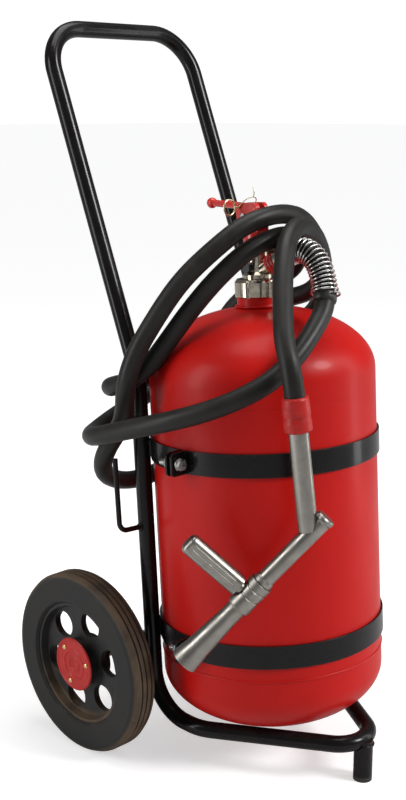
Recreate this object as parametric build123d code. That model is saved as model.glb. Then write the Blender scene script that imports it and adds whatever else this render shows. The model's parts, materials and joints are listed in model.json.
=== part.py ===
from build123d import *
import math
import os

# A wheeled dry-powder fire extinguisher: a steel bottle strapped to a bent
# tube cart with two wheels and one front foot.  Millimetres, +Z up, front of
# the cart toward -Y.  The origin is on the floor under the middle of the cart.

# ---- cart and bottle ---------------------------------------------------
LEAN = 3.8              # bottle and rails lean back by this angle
LEAN_Y = -56.0          # bottle axis in Y at the height LEAN_Z
LEAN_Z = 400.0
BOTTLE_R = 150.0
SHELL_WALL = 3.0
BOTTOM_START = 120.0    # where the lower head leaves the straight barrel
BOTTOM_DEPTH = 77.0
LOWER_SEAM = 146.5
UPPER_SEAM = 498.0
TOP_START = 524.0
TOP_DEPTH = 85.0
NECK_R = 28.5
NECK_BORE = 20.0
NECK_TOP = 636.0

# ---- frame -------------------------------------------------------------
TUBE_R = 11.0
TUBE_WALL = 2.0
RAIL_X = 130.0
RAIL_BACK = 101.0       # rail axis behind the bottle axis
RAIL_LOW = 150.0
RAIL_HIGH = 470.0
HANDLE_BEND_Z = 518.0
HANDLE_LEAN = 22.0
HANDLE_TOP_Z = 966.0
BASE_Z = 54.5
APEX_Y = -270.0
FOOT_Y = -236.0
FOOT_R = 12.5
AXLE_Y = 92.7
AXLE_Z = 125.0
AXLE_R = 8.0
AXLE_END = 211.0

# ---- straps ------------------------------------------------------------
STRAP_S = (165.0, 413.5)
STRAP_H = 30.0
STRAP_T = 3.0
LUG_REACH = 177.0
BOLT_X = 166.0

# ---- wheels ------------------------------------------------------------
WHEEL_R = 125.0
WHEEL_OUT = 216.5
WHEEL_IN = 178.5
RIM_R = 84.0
WEB_R = 77.0
HUB_R = 33.0
BUSH_R = 12.0
CAP_R = 37.0
HOLE_R = 18.5           # six holes in each wheel's web, on this circle:
HOLE_CIRCLE = 58.0
SCREW_CIRCLE = 27.0
CLIP_X = 207.7          # middle of the retaining rings near the axle's ends

# ---- valve -------------------------------------------------------------
NUT_R = 31.0
NUT_S = 621.0
OUTLET_S = 652.0
OUTLET_RISE = 25.0
UNION_R = 13.0
PIVOT_V = 12.0
PIVOT_S = 727.0
PIN_V = 19.0
PIN_S = 738.0
LEVER_T = 8.0

# ---- hose and gun ------------------------------------------------------
HOSE_R = 12.5
GUARD_R = 15.5
GUARD_CORNERS = 3        # the guard ends half a run after this corner
GUN_TURN = -45.0
GUN_OUT = 197.0
BARREL_DIP = 47.4
BARREL_START = (62.0, 387.0)

# Corner points of the hose from the valve outlet to the gun.
HOSE_ROUTE = [
    (0.0, -86.9, 677.6),
    (0.0, -114.9, 693.0),
    (3.0, -142.0, 687.0),
    (6.0, -162.0, 660.0),
    (-4.0, -173.0, 622.0),
    (-34.0, -181.0, 592.0),
    (-76.0, -181.0, 565.0),
    (-118.0, -170.0, 543.0),
    (-154.0, -146.0, 522.0),
    (-181.0, -112.0, 505.0),
    (-201.0, -66.0, 489.0),
    (-208.0, -14.0, 473.0),
    (-209.0, 42.0, 454.0),
    (-191.0, 81.0, 443.0),
    (-154.0, 112.0, 439.0),
    (-104.0, 138.0, 442.0),
    (-44.0, 155.0, 452.0),
    (18.0, 166.0, 466.0),
    (76.0, 170.0, 484.0),
    (132.0, 150.0, 502.0),
    (166.0, 98.0, 524.0),
    (176.0, 42.0, 550.0),
    (166.0, -10.0, 588.0),
    (144.0, -44.0, 634.0),
    (120.0, -52.0, 688.0),
    (82.0, -58.0, 720.0),
    (38.0, -68.0, 734.0),
    (-8.0, -72.0, 736.0),
    (-50.0, -62.0, 719.0),
    (-90.0, -46.0, 689.0),
    (-127.0, -26.0, 652.0),
    (-156.0, -10.0, 606.0),
    (-178.0, 6.0, 560.0),
    (-184.0, 18.0, 516.0),
    (-168.0, 37.0, 468.0),
    (-180.0, 68.0, 418.0),
    (-160.0, 92.0, 382.0),
    (-116.0, 106.0, 360.0),
    (-64.0, 115.0, 352.0),
    (-10.0, 122.0, 358.0),
    (36.0, 128.0, 384.0),
    (68.0, 132.0, 426.0),
    (88.0, 134.0, 476.0),
    (98.0, 132.0, 530.0),
    (98.0, 104.0, 578.0),
    (105.0, 54.0, 616.0),
    (116.0, 4.0, 636.0),
    (106.0, -34.0, 659.0),
    (81.0, -53.0, 686.0),
    (42.0, -67.0, 704.0),
    (-4.0, -72.0, 704.0),
    (-46.0, -64.0, 687.0),
    (-84.0, -48.0, 654.0),
    (-115.0, -32.0, 616.0),
    (-140.0, -14.0, 574.0),
    (-152.0, 12.0, 536.0),
    (-160.0, 50.0, 512.0),
    (-150.0, 92.0, 500.0),
    (-108.0, 114.0, 496.0),
    (-52.0, 120.0, 492.0),
    (4.0, 122.0, 494.0),
    (58.0, 114.0, 506.0),
    (98.0, 94.0, 530.0),
    (104.0, 56.0, 578.0),
    (110.0, 10.0, 600.0),
    (114.0, -36.0, 614.0),
    (108.0, -74.0, 644.0),
    (82.0, -88.0, 684.0),
    (46.0, -94.0, 712.0),
    (4.0, -104.0, 723.0),
    (-34.0, -122.0, 706.0),
    (-65.0, -146.0, 670.0),
    (-92.0, -170.0, 630.0),
    (-114.0, -194.0, 594.0),
    (-126.3, -211.6, 560.5),
    (-122.4, -215.5, 511.8),
]


def leaned(shape):
    """Bottle coordinates (height along the axis) into the upright frame."""
    return Pos(0, LEAN_Y, LEAN_Z) * Rot(-LEAN, 0, 0) * Pos(0, 0, -LEAN_Z) * shape


def rail_y(z):
    """Y of the rail axis at height z."""
    tilt = math.radians(LEAN)
    return LEAN_Y + RAIL_BACK / math.cos(tilt) + (z - LEAN_Z) * math.tan(tilt)


def handle_y(z):
    """Y of the slanted handle leg at height z."""
    return rail_y(HANDLE_BEND_Z) + (z - HANDLE_BEND_Z) * math.tan(math.radians(HANDLE_LEAN))


def ring(r_out, r_in, s0, s1):
    """A plain ring about the Z axis between two heights."""
    body = Pos(0, 0, (s0 + s1) / 2) * Cylinder(r_out, s1 - s0)
    return body - Pos(0, 0, (s0 + s1) / 2) * Cylinder(r_in, s1 - s0 + 2)


def disc(r, s0, s1):
    """A solid cylinder about the Z axis between two heights."""
    return Pos(0, 0, (s0 + s1) / 2) * Cylinder(r, s1 - s0)


def swept(path, r_out, r_in=0.0):
    """A round bar or tube along a path."""
    start = Plane(origin=path @ 0, z_dir=path % 0)
    bar = sweep(start * Circle(r_out), path=path)
    if r_in:
        bar = bar - sweep(start * Circle(r_in), path=path)
    return bar


def turned(points):
    """A solid of revolution about Z from (radius, height) corners."""
    outline = Polyline(*[(r, s) for r, s in points], close=True)
    return revolve(Plane.XZ * make_face(outline), axis=Axis.Z)


def save(name, shape):
    """Write one node as its own STEP file."""
    export_step(shape, "parts/%s.step" % name)


# ---- bottle --------------------------------------------------------------
def dome(radius, depth, flange, bevel=0.0):
    """A solid half ellipsoid on a short straight cylinder, flat at its very top."""
    crown = EllipticalCenterArc((0, 0), radius, depth, start_angle=0, arc_size=88)
    peak = crown @ 1
    corners = [(peak.X, peak.Y), (0, peak.Y), (0, -flange), (radius, -flange), (radius, 0)]
    if bevel:
        corners[3:4] = [(radius - bevel, -flange), (radius, bevel - flange)]
    return revolve(Plane.XZ * make_face([crown, Polyline(*corners)]), axis=Axis.Z)


def head(start, depth, flange, up):
    """An elliptical pressure-vessel head with a short straight skirt."""
    hollow = dome(BOTTLE_R - SHELL_WALL, depth - SHELL_WALL, flange + 1)
    body = dome(BOTTLE_R, depth, flange, 0.0 if up else 1.6) - hollow
    if not up:
        body = Rot(180, 0, 0) * body
    return Pos(0, 0, start) * body


def bottle():
    """Barrel, two heads and the neck boss."""
    barrel = turned([
        (BOTTLE_R - SHELL_WALL, LOWER_SEAM),
        (BOTTLE_R - 1.6, LOWER_SEAM),
        (BOTTLE_R, LOWER_SEAM + 1.6),
        (BOTTLE_R, UPPER_SEAM),
        (BOTTLE_R - SHELL_WALL, UPPER_SEAM),
    ])
    low = head(BOTTOM_START, BOTTOM_DEPTH, LOWER_SEAM - BOTTOM_START, False)
    top = head(TOP_START, TOP_DEPTH, TOP_START - UPPER_SEAM, True)
    top = top - disc(NECK_R - 0.5, 590, 620)
    neck = turned([
        (NECK_BORE, 600), (NECK_R - 0.5, 600), (NECK_R - 0.5, 607),
        (NECK_R + 1.5, 608), (NECK_R, 612), (NECK_R, NECK_TOP), (NECK_BORE, NECK_TOP),
    ])
    save("bottle_barrel", leaned(barrel))
    save("bottle_bottom", leaned(low))
    save("bottle_top", leaned(top - neck))
    save("neck_boss", leaned(neck))


# ---- straps ----------------------------------------------------------------
def half_strap(s0, side):
    """Half of a clamp band with a lug at each end; side -1 is the front."""
    body = ring(BOTTLE_R + STRAP_T, BOTTLE_R, s0, s0 + STRAP_H)
    body = body & (Pos(0, side * 103, s0 + STRAP_H / 2) * Box(400, 200, 100))
    for x in (-1, 1):
        lug = Pos(x * (LUG_REACH + 150) / 2, side * 4.5, s0 + STRAP_H / 2)
        plate = Box(LUG_REACH - 150, 3, STRAP_H)
        plate = fillet(plate.edges().filter_by(Axis.Y).group_by(Axis.X)[-1 if x > 0 else 0], 5)
        body += lug * plate
        hole = Pos(x * BOLT_X, side * 4.5, s0 + STRAP_H / 2) * Rot(90, 0, 0) * Cylinder(4.3, 8)
        body -= hole
    return body - disc(BOTTLE_R, s0 - 1, s0 + STRAP_H + 1)


def strap_bolt(x, s):
    """Hex bolt with its washer, shank along Y."""
    shank = Cylinder(4.0, 34)
    top = Pos(0, 0, 17) * extrude(RegularPolygon(7.5, 6), 5.2)
    bolt = shank + top + Pos(0, 0, 16.2) * Cylinder(8, 1.6)
    return Pos(x, 7.4, s) * Rot(90, 0, 0) * bolt


def strap_nut(x, s):
    """Hex nut on the rear lug."""
    nut = extrude(RegularPolygon(7.5, 6), 6.4) - Cylinder(4.05, 40)
    washer = ring(8, 4.05, 6.4, 8.0)
    return Pos(x, 6.0 + 8.0, s) * Rot(90, 0, 0) * (nut + washer)


def straps():
    """Two clamp bands, each in a front and a rear half, and their bolts."""
    bolts = []
    nuts = []
    for name, s0 in zip(("lower", "upper"), STRAP_S):
        save("%s_strap_front" % name, leaned(half_strap(s0, -1)))
        save("%s_strap_rear" % name, leaned(half_strap(s0, 1)))
        for x in (-BOLT_X, BOLT_X):
            bolts.append(leaned(strap_bolt(x, s0 + STRAP_H / 2)))
            nuts.append(leaned(strap_nut(x, s0 + STRAP_H / 2)))
    save("strap_bolts", Compound(children=bolts))
    save("strap_nuts", Compound(children=nuts))


# ---- frame -----------------------------------------------------------------
def frame():
    """Bent-tube frame: handle bow, two rails, base loop, foot and brackets."""
    rail_low = [(x * RAIL_X, rail_y(RAIL_LOW), RAIL_LOW) for x in (-1, 1)]
    rail_top = [(x * RAIL_X, rail_y(RAIL_HIGH), RAIL_HIGH) for x in (-1, 1)]
    bow = FilletPolyline(
        rail_top[0],
        (-RAIL_X, rail_y(HANDLE_BEND_Z), HANDLE_BEND_Z),
        (-RAIL_X, handle_y(HANDLE_TOP_Z), HANDLE_TOP_Z),
        (RAIL_X, handle_y(HANDLE_TOP_Z), HANDLE_TOP_Z),
        (RAIL_X, rail_y(HANDLE_BEND_Z), HANDLE_BEND_Z),
        rail_top[1],
        radius=[110, 62, 62, 110],
    )
    save("handle_bow", swept(bow, TUBE_R, TUBE_R - TUBE_WALL))
    for name, low, top in zip(("left_rail", "right_rail"), rail_low, rail_top):
        save(name, swept(Line(low, top), TUBE_R, TUBE_R - TUBE_WALL))
    knee_y = rail_y(BASE_Z)
    loop = FilletPolyline(
        rail_low[0],
        (-RAIL_X, knee_y, BASE_Z),
        (-RAIL_X, -62, BASE_Z),
        (0, APEX_Y, BASE_Z),
        (RAIL_X, -62, BASE_Z),
        (RAIL_X, knee_y, BASE_Z),
        rail_low[1],
        radius=[60, 60, 43, 60, 60],
    )
    base = swept(loop, TUBE_R, TUBE_R - TUBE_WALL)
    core = swept(loop, TUBE_R)
    leg = Pos(0, FOOT_Y, 0) * disc(FOOT_R, 6, BASE_Z + 2)
    save("base_loop", base)
    save("foot_leg", leg - core)
    save("foot_pad", Pos(0, FOOT_Y, 0) * (disc(FOOT_R, 0, 6) - disc(5, -1, 2)))


def brackets():
    """Axle plates behind the rails, weld saddles and the hose hook."""
    plates = []
    saddles = []
    for x in (-1, 1):
        outline = Polyline(
            (rail_y(165) + 4, 165), (rail_y(95) + 4, 95),
            (AXLE_Y - 4, AXLE_Z - 20), (AXLE_Y + 14, AXLE_Z - 16),
            (AXLE_Y + 19, AXLE_Z), (AXLE_Y + 12, AXLE_Z + 18), close=True)
        plate = extrude(Plane.YZ * make_face(outline), 4, both=True)
        boss = Rot(0, 90, 0) * Cylinder(15, 22)
        plate = Pos(x * RAIL_X, 0, 0) * plate + Pos(x * RAIL_X, AXLE_Y, AXLE_Z) * boss
        plate -= Pos(x * RAIL_X, AXLE_Y, AXLE_Z) * Rot(0, 90, 0) * Cylinder(AXLE_R, 60)
        low = (x * RAIL_X, rail_y(60), 60)
        top = (x * RAIL_X, rail_y(220), 220)
        plate -= swept(Line(low, top), TUBE_R)
        knee = FilletPolyline(
            (x * RAIL_X, rail_y(RAIL_LOW), RAIL_LOW), (x * RAIL_X, rail_y(BASE_Z), BASE_Z),
            (x * RAIL_X, -62, BASE_Z), radius=60)
        plate -= swept(knee, TUBE_R)
        plates.append(plate.solids().sort_by(Axis.Y)[-1])
        for s0 in STRAP_S:
            block = Pos(x * 122, 97, s0 + STRAP_H / 2) * Rot(0, 0, x * -38) * Box(16, 26, 22)
            block -= disc(BOTTLE_R + STRAP_T, s0 - 20, s0 + 60)
            block -= Pos(x * RAIL_X, RAIL_BACK, s0) * Cylinder(TUBE_R, 200)
            near = block.solids().sort_by(Axis.Y)
            saddles.append(leaned(near[0]))
    save("axle_plates", Compound(children=plates))
    save("strap_saddles", Compound(children=saddles))
    foot_y = rail_y(318)
    hook = FilletPolyline(
        (-RAIL_X - TUBE_R + 1.0, foot_y, 316),
        (-RAIL_X - 46, foot_y + 1, 318),
        (-RAIL_X - 46, rail_y(416) + 2, 416),
        radius=13)
    rail_part = Line((-RAIL_X, rail_y(280), 280), (-RAIL_X, rail_y(360), 360))
    hook_bar = swept(hook, 3.5) - swept(rail_part, TUBE_R)
    save("hose_hook", hook_bar.solids().sort_by(Axis.X)[0])


# ---- wheels ----------------------------------------------------------------
def around(r, degrees):
    """A place on a circle about the Z axis."""
    a = math.radians(degrees)
    return Pos(r * math.cos(a), r * math.sin(a), 0)


def wheel(name, side):
    """Tyre, disc, hub, bush, cap and fixings of one wheel."""
    mid = (WHEEL_OUT + WHEEL_IN) / 2
    half = (WHEEL_OUT - WHEEL_IN) / 2

    def placed(shape):
        spun = Rot(0, 90, 0) if side > 0 else Rot(0, -90, 0)
        return Pos(side * mid, AXLE_Y, AXLE_Z) * spun * shape

    tread = [(RIM_R, -half + 4), (RIM_R + 3, -half), (WHEEL_R - 10, -half),
             (WHEEL_R - 2.5, -half + 3), (WHEEL_R, -half + 8)]
    for g in (-9.0, -1.0, 7.0):
        tread += [(WHEEL_R, g - 1.2), (WHEEL_R - 2.5, g - 0.8),
                  (WHEEL_R - 2.5, g + 0.8), (WHEEL_R, g + 1.2)]
    tread += [(WHEEL_R, half - 8), (WHEEL_R - 2.5, half - 3), (WHEEL_R - 10, half),
              (RIM_R + 3, half), (RIM_R, half - 4)]
    tyre = turned(tread)
    plate = turned([(HUB_R, -5), (WEB_R, -5), (WEB_R + 3, -half + 5), (RIM_R, -half + 5),
                    (RIM_R, half - 5), (WEB_R + 3, half - 5), (WEB_R, 4), (HUB_R, 4)])
    hub = ring(HUB_R, BUSH_R, -half + 2, half - 1)
    web = plate + hub
    for k in range(6):
        web -= around(HOLE_CIRCLE, 44 + 60 * k) * Cylinder(HOLE_R, 60)
    for k in range(3):
        web -= around(SCREW_CIRCLE, 44 + 120 * k) * Pos(0, 0, half) * Cylinder(2.0, 24)
    bush = ring(BUSH_R, AXLE_R + 0.06, -half + 2, half - 10)
    cap = turned([(0, half - 0.9), (CAP_R - 1.5, half - 0.9), (CAP_R, half + 0.2), (CAP_R, half + 1.2),
                  (CAP_R - 1.5, half + 2.6), (CAP_R - 3.5, half + 2.6), (32, half + 1.8), (22, half + 1.8),
                  (20.8, half + 2.6), (18.6, half + 2.6), (17.4, half + 1.6), (12, half + 1.3),
                  (10.8, half + 1.9), (8.8, half + 1.9), (7.6, half + 0.9), (0, half + 0.4)])
    screws = []
    for k in range(3):
        spot = around(SCREW_CIRCLE, 44 + 120 * k)
        cap -= spot * Pos(0, 0, half) * Cylinder(2.2, 20)
        screw = turned([(0, half - 9), (1.9, half - 9), (1.9, half + 1.9), (3.6, half + 1.9),
                        (3.4, half + 2.7), (2.3, half + 3.4), (0, half + 3.6)])
        screws.append(placed(spot * screw))
    collar = ring(15, AXLE_R + 0.06, -half - 3, -half + 1.7)
    save("%s_tyre" % name, placed(tyre))
    save("%s_wheel_disc" % name, placed(web))
    save("%s_bush" % name, placed(bush))
    save("%s_hub_cap" % name, placed(cap))
    save("%s_cap_screws" % name, Compound(children=screws))
    return placed(collar)


def running_gear():
    """Axle with its retaining rings, wheel collars and both wheels."""
    axle = Cylinder(AXLE_R, 2 * AXLE_END)
    clips = []
    for z in (-CLIP_X, CLIP_X):
        axle -= ring(AXLE_R + 1, AXLE_R - 0.8, z - 0.9, z + 0.9)
        clip = ring(11.2, AXLE_R - 0.7, z - 0.75, z + 0.75)
        clips.append(Pos(0, AXLE_Y, AXLE_Z) * Rot(0, 90, 0) * clip)
    save("axle", Pos(0, AXLE_Y, AXLE_Z) * Rot(0, 90, 0) * axle)
    save("axle_clips", Compound(children=clips))
    collars = [wheel("left", -1), wheel("right", 1)]
    save("axle_collars", Compound(children=collars))


# ---- valve -----------------------------------------------------------------
def along_outlet(shape):
    """Place a piece built along +Z on the rising outlet axis."""
    return Pos(0, 0, OUTLET_S) * Rot(90 - OUTLET_RISE, 0, 0) * shape


def valve():
    """Valve body, ring nut, seal, dip tube, stem, lever, pin and outlet."""
    nut = turned([
        (NECK_R + 0.1, NUT_S), (NUT_R - 1, NUT_S), (NUT_R, NUT_S + 1.5), (NUT_R, NUT_S + 20),
        (NUT_R - 3, NUT_S + 24), (22, NUT_S + 24), (22, 639.1), (NECK_R + 0.1, 639.1)])
    for k in range(6):
        a = math.radians(15 + 60 * k)
        notch = Rot(0, 0, math.degrees(a)) * Box(3, 5, 30)
        nut -= Pos(NUT_R * math.cos(a), NUT_R * math.sin(a), NUT_S + 11) * notch
    body = turned([
        (8, 598), (NECK_BORE - 0.1, 598), (NECK_BORE - 0.1, 627), (18, 627), (18, 629.4),
        (NECK_BORE - 0.1, 629.4), (NECK_BORE - 0.1, NECK_TOP), (28, NECK_TOP), (28, 639),
        (20, 639), (20, 650), (15, 654), (15, 690), (12, 692), (12, 702), (4.1, 702), (4.1, 668), (8, 668)])
    body += along_outlet(disc(10, 0, 24))
    body -= along_outlet(disc(6, 2, 30))
    body -= disc(4.1, 660, 710)
    body -= disc(8, 590, 668)
    plug = Pos(-14, 0, 660) * Rot(0, -90, 0) * extrude(RegularPolygon(7, 6), 9)
    body -= plug
    body -= Pos(14.5, 0, 676) * Rot(0, 90, 0) * disc(5, -2, 10)
    union = turned([
        (10.05, 25), (UNION_R - 1, 25), (UNION_R, 26), (UNION_R, 29), (UNION_R - 2, 30),
        (UNION_R, 31), (UNION_R, 34), (UNION_R - 2, 35), (UNION_R, 36), (UNION_R, 40),
        (UNION_R - 2, 42), (10.05, 42)])
    tail = turned([(6, 24.2), (10, 24.2), (10, 42.4), (HOSE_R + 1.0, 42.4), (HOSE_R + 1.0, 54), (6, 54)])
    head_low = turned([(12.1, 692.2), (17, 692.2), (17, 706), (4.1, 706), (4.1, 702.2), (12.1, 702.2)])
    cheeks = Pos(0, 6, 724) * Box(22, 36, 38) - Pos(0, 6, 727) * Box(9, 60, 42)
    cheeks = fillet(cheeks.edges().filter_by(Axis.X).group_by(Axis.Z)[-1], 7)
    bonnet = head_low + cheeks
    bonnet -= Pos(0, PIVOT_V, PIVOT_S) * Rot(0, 90, 0) * Cylinder(3.0, 60)
    bonnet -= Pos(0, PIN_V, PIN_S) * Rot(0, 90, 0) * Cylinder(1.6, 60)
    bonnet -= disc(4.1, 690, 712)
    stem = disc(4.0, 664, 715.3) + disc(6.5, 655, 664)
    save("ring_nut", leaned(nut))
    save("neck_seal", leaned(Pos(0, 0, 628.2) * Torus(19.0, 0.95)))
    save("valve_body", leaned(body))
    save("relief_plug", leaned(plug - disc(14.9, 640, 680)))
    save("dip_tube", leaned(ring(8.0, 6.5, 60, 640)))
    save("valve_stem", leaned(stem))
    save("valve_bonnet", leaned(bonnet))
    save("outlet_union", leaned(along_outlet(union)))
    save("hose_tail", leaned(along_outlet(tail)))
    lever()


def lever():
    """Red lever with its ball, pivot pin and safety pin."""
    tip = (0, 78.3, 743.4)
    bar = swept(Line((0, 30, 739.6), tip), 4.6) + Pos(*tip) * Sphere(7.2)
    blade = Polyline(
        (PIVOT_V - 8, PIVOT_S - 9), (PIVOT_V + 8, PIVOT_S - 10.5), (PIVOT_V + 16, PIVOT_S - 8.5),
        (PIVOT_V + 19, PIVOT_S), (PIVOT_V + 20, 735.0), (36, 735.6), (36, 744.2),
        (PIVOT_V + 6, 742.5), (PIVOT_V - 10, PIVOT_S + 6), close=True)
    plate = extrude(Plane.YZ * make_face(blade), LEVER_T / 2, both=True)
    arm = plate + bar
    arm -= Pos(0, PIVOT_V, PIVOT_S) * Rot(0, 90, 0) * Cylinder(3.06, 40)
    # The pin stands at the upper end of a curved slot, so it stops the lever
    # from being pressed down, and the lever's own lift runs clear of it.
    pin_reach = math.hypot(PIN_V - PIVOT_V, PIN_S - PIVOT_S)
    pin_angle = math.degrees(math.atan2(PIN_S - PIVOT_S, PIN_V - PIVOT_V))
    for step in range(0, 64, 3):
        a = math.radians(pin_angle - step)
        spot = Pos(0, PIVOT_V + pin_reach * math.cos(a), PIVOT_S + pin_reach * math.sin(a))
        arm -= spot * Rot(0, 90, 0) * Cylinder(1.9, 40)
    save("lever", leaned(arm))
    pivot = Pos(0, PIVOT_V, PIVOT_S) * Rot(0, 90, 0) * (Cylinder(3.0, 26))
    save("lever_pivot", leaned(pivot))
    pin = Pos(-1, PIN_V, PIN_S) * Rot(0, 90, 0) * Cylinder(1.5, 36)
    grip = Pos(-28.5, PIN_V, PIN_S) * Rot(90, 0, 0) * Torus(10.0, 1.2)
    save("safety_pin", leaned(pin + grip))


def gauge():
    """Pressure gauge on the right side of the valve: case, dial, needle, glass."""
    def side(shape):
        return leaned(Pos(14.5, 0, 676) * Rot(0, 90, 0) * shape)

    stud = disc(5, 0, 10)
    case = turned([(0, 8), (17, 8), (19, 10), (19, 20), (17.5, 20), (17.5, 12), (0, 12)])
    save("gauge_case", side(case + stud))
    save("gauge_dial", side(disc(17.2, 12.1, 12.9)))
    save("gauge_needle", side(Pos(0, 0, 14) * (Cylinder(1.8, 1.2) + Pos(5.5, 0, 0) * Box(12, 1.2, 0.8))))
    save("gauge_glass", side(disc(17.4, 17.5, 19.2)))


# ---- gun -------------------------------------------------------------------
def gun_place(shape):
    """Gun plane (x across, z up, y away from the cart front) into the frame."""
    tilt = math.radians(LEAN)
    axis_y = LEAN_Y + (350 - LEAN_Z) * math.tan(tilt)
    turn = math.radians(GUN_TURN)
    out_x = math.sin(turn) * GUN_OUT
    out_y = -math.cos(turn) * GUN_OUT
    return Pos(out_x, axis_y + out_y, 0) * Rot(0, 0, GUN_TURN) * shape


def on_barrel(shape):
    """Piece built along +Z onto the barrel axis, toward the mouth."""
    x0, z0 = BARREL_START
    return gun_place(Pos(x0, 0, z0) * Rot(0, -90 - BARREL_DIP, 0) * shape)


def on_inlet(shape):
    """Piece built along +Z onto the inlet tube axis."""
    return gun_place(Pos(39.9, 0, 371) * Rot(0, -6.5, 0) * shape)


def gun():
    """Shut-off gun hanging on the hose end."""
    barrel = turned([
        (7, 0), (11, 0), (12.5, 2), (12.5, 6), (11.2, 8), (11.2, 105), (13, 108), (13, 113), (7, 113)])
    inlet = disc(12.2, 0, 121.5) - disc(7, -5, 130)
    inlet_low = on_inlet(inlet) - on_barrel(disc(11.25, -20, 130)) - on_barrel(disc(12.55, -0.1, 8.1))
    save("gun_barrel", on_barrel(barrel) + on_barrel(disc(11, 0, 3)))
    save("gun_inlet", inlet_low.solids().sort_by(Axis.Z)[-1])
    ferrule = turned([
        (7, 121.6), (13, 121.6), (17.2, 124), (17.2, 134), (16, 141.5), (7, 141.5)])
    save("gun_ferrule", on_inlet(ferrule))
    sleeve = turned([
        (8, 113.4), (15.5, 113.4), (15.5, 122), (14.4, 122.8), (14.4, 124.6), (15.5, 125.4), (15.5, 134),
        (14.4, 134.8), (14.4, 136.6), (15.5, 137.4), (15.5, 154), (14, 156), (8, 156)])
    save("gun_sleeve", on_barrel(sleeve))
    grip = Pos(0, 0, 60) * extrude(RectangleRounded(26, 22, 9), 42, both=True)
    grip = fillet(grip.edges().group_by(Axis.Z)[-1], 6)
    for k in (-6, 0, 6):
        grip -= Pos(k, -11.6, 60) * Box(1.6, 2.6, 66)
        grip -= Pos(k, 11.6, 60) * Box(1.6, 2.6, 66)
    neck = disc(8, 10, 20)
    handle = on_barrel(Pos(0, 0, 135) * Rot(0, 90, 0) * (grip + neck))
    handle = handle - on_barrel(disc(15.6, 100, 170))
    save("gun_grip", handle.solids().sort_by(Axis.Z)[-1])
    nozzle = turned([
        (8.2, 156.4), (12.4, 156.4), (12.6, 175), (15.5, 228), (17.6, 246), (18.2, 252),
        (16.6, 252), (14.4, 238), (8.2, 190)])
    save("gun_nozzle", on_barrel(nozzle))
    ball = Sphere(6.6) - Cylinder(4, 20)
    save("gun_ball", on_barrel(Pos(0, 0, 60) * ball))


# ---- hose ------------------------------------------------------------------
def bend_radii(points):
    """One bend radius per inner corner, from the shorter of its two runs."""
    radii = []
    for a, b, c in zip(points, points[1:], points[2:]):
        u = Vector(*b) - Vector(*a)
        v = Vector(*c) - Vector(*b)
        turn = math.radians(u.get_angle(v))
        shorter = min(u.length, v.length)
        radii.append(0.45 * shorter / math.tan(turn / 2))
    return radii


def hose():
    """The discharge hose, its spring guard and the guard's end collar."""
    radii = bend_radii(HOSE_ROUTE)
    print("hose bend radii:", " ".join("%.0f" % r for r in radii))
    path = FilletPolyline(*HOSE_ROUTE, radius=radii)
    tube = swept(path, HOSE_R)
    print("hose length %.0f, volume %.0f, section x length %.0f" % (
        path.length, tube.volume, math.pi * HOSE_R ** 2 * path.length))
    save("hose", tube)
    last, beyond = HOSE_ROUTE[GUARD_CORNERS], HOSE_ROUTE[GUARD_CORNERS + 1]
    guard_end = tuple((a + b) / 2 for a, b in zip(last, beyond))
    guard_path = FilletPolyline(*HOSE_ROUTE[:GUARD_CORNERS + 1], guard_end, radius=radii[:GUARD_CORNERS])
    guard = swept(guard_path, GUARD_R, HOSE_R + 0.4)
    save("spring_guard", guard)


def main():
    os.makedirs("parts", exist_ok=True)
    bottle()
    straps()
    frame()
    brackets()
    running_gear()
    valve()
    gauge()
    gun()
    hose()


main()
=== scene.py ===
# %% [markdown]
# A wheeled powder fire extinguisher.
# The real object is a red steel bottle strapped to a cart of bent black tube. It
# runs on two solid rubber wheels, stands on one front foot, and carries a lever
# valve, a long coiled hose and a shut-off gun.
# This lesson loads the finished metalwork as a fixed frame. It then adds what a
# solid model can't say: the lie of the hose, the wound spring, the welds, the
# wire seal and every finish. All sizes are in metres.

# %% The metalwork
import json
import math

import bmesh
import bpy
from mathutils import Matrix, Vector


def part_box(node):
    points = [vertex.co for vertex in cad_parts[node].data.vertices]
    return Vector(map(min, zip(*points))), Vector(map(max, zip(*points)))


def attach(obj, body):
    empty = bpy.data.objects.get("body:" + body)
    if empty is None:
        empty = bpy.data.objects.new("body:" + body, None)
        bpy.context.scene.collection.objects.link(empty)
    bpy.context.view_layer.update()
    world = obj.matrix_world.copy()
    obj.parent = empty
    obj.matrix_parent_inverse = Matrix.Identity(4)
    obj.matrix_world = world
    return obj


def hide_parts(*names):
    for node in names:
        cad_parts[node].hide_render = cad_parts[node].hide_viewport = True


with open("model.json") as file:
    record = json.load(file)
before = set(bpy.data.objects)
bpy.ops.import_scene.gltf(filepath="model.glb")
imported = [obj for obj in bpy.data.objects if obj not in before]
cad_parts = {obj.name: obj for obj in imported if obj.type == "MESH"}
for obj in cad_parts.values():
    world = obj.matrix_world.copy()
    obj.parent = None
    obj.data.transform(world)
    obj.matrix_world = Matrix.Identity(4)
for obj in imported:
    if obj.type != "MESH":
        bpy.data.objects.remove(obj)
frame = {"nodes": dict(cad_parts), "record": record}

scene = bpy.context.scene
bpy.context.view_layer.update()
MM = 0.001

# %% [markdown]
# The camera first, because the lie of the hose is judged through it.
# A tall object is shown upright with a lens a little longer than normal, from
# about waist height, so that its sides stay nearly straight. The camera stands
# off the front left corner and tips down by 13 degrees.

# %% Camera
CAMERA_PLACE = (-1.1789, -1.1203, 0.8593)
CAMERA_HEADING = (0.7060, 0.7082)
CAMERA_DIP = math.radians(13.349)
LENS = 55.09

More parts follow.
